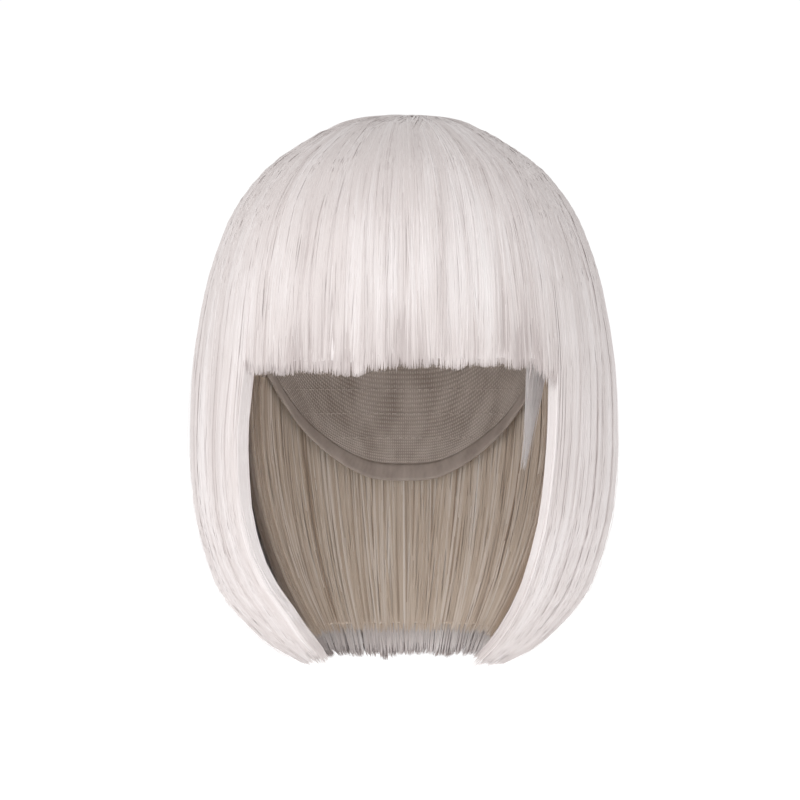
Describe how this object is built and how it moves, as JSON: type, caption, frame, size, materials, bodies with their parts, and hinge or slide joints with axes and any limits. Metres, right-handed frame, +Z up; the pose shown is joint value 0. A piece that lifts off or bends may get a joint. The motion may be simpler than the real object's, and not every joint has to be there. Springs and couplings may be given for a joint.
{
  "type": "bob wig",
  "caption": "Short bob wig with a full blunt fringe over the forehead, straight sides beside the face and a hem curled in at the neck, on a net cap.",
  "frame": {"origin": "at the height of the inside of the cap's top, over the middle of the head that carries the wig", "axes": "+Z up, -Y out of the face opening, +X to the right of someone who looks at the face opening"},
  "size_m": [0.2242, 0.2323, 0.2905],
  "materials": {
    "platinum_hair": "silky straight synthetic hair",
    "under_hair": "matte shaded synthetic hair",
    "cap_net": "soft stretch net"
  },
  "bodies": {
    "root": {"cap_front": "cap_net", "cap_back": "cap_net", "crown": "platinum_hair", "bangs": "platinum_hair", "side_left": "platinum_hair", "side_right": "platinum_hair", "back": "platinum_hair", "under_layer": "under_hair", "face_lock_right": "platinum_hair"}
  },
  "joints": []
}
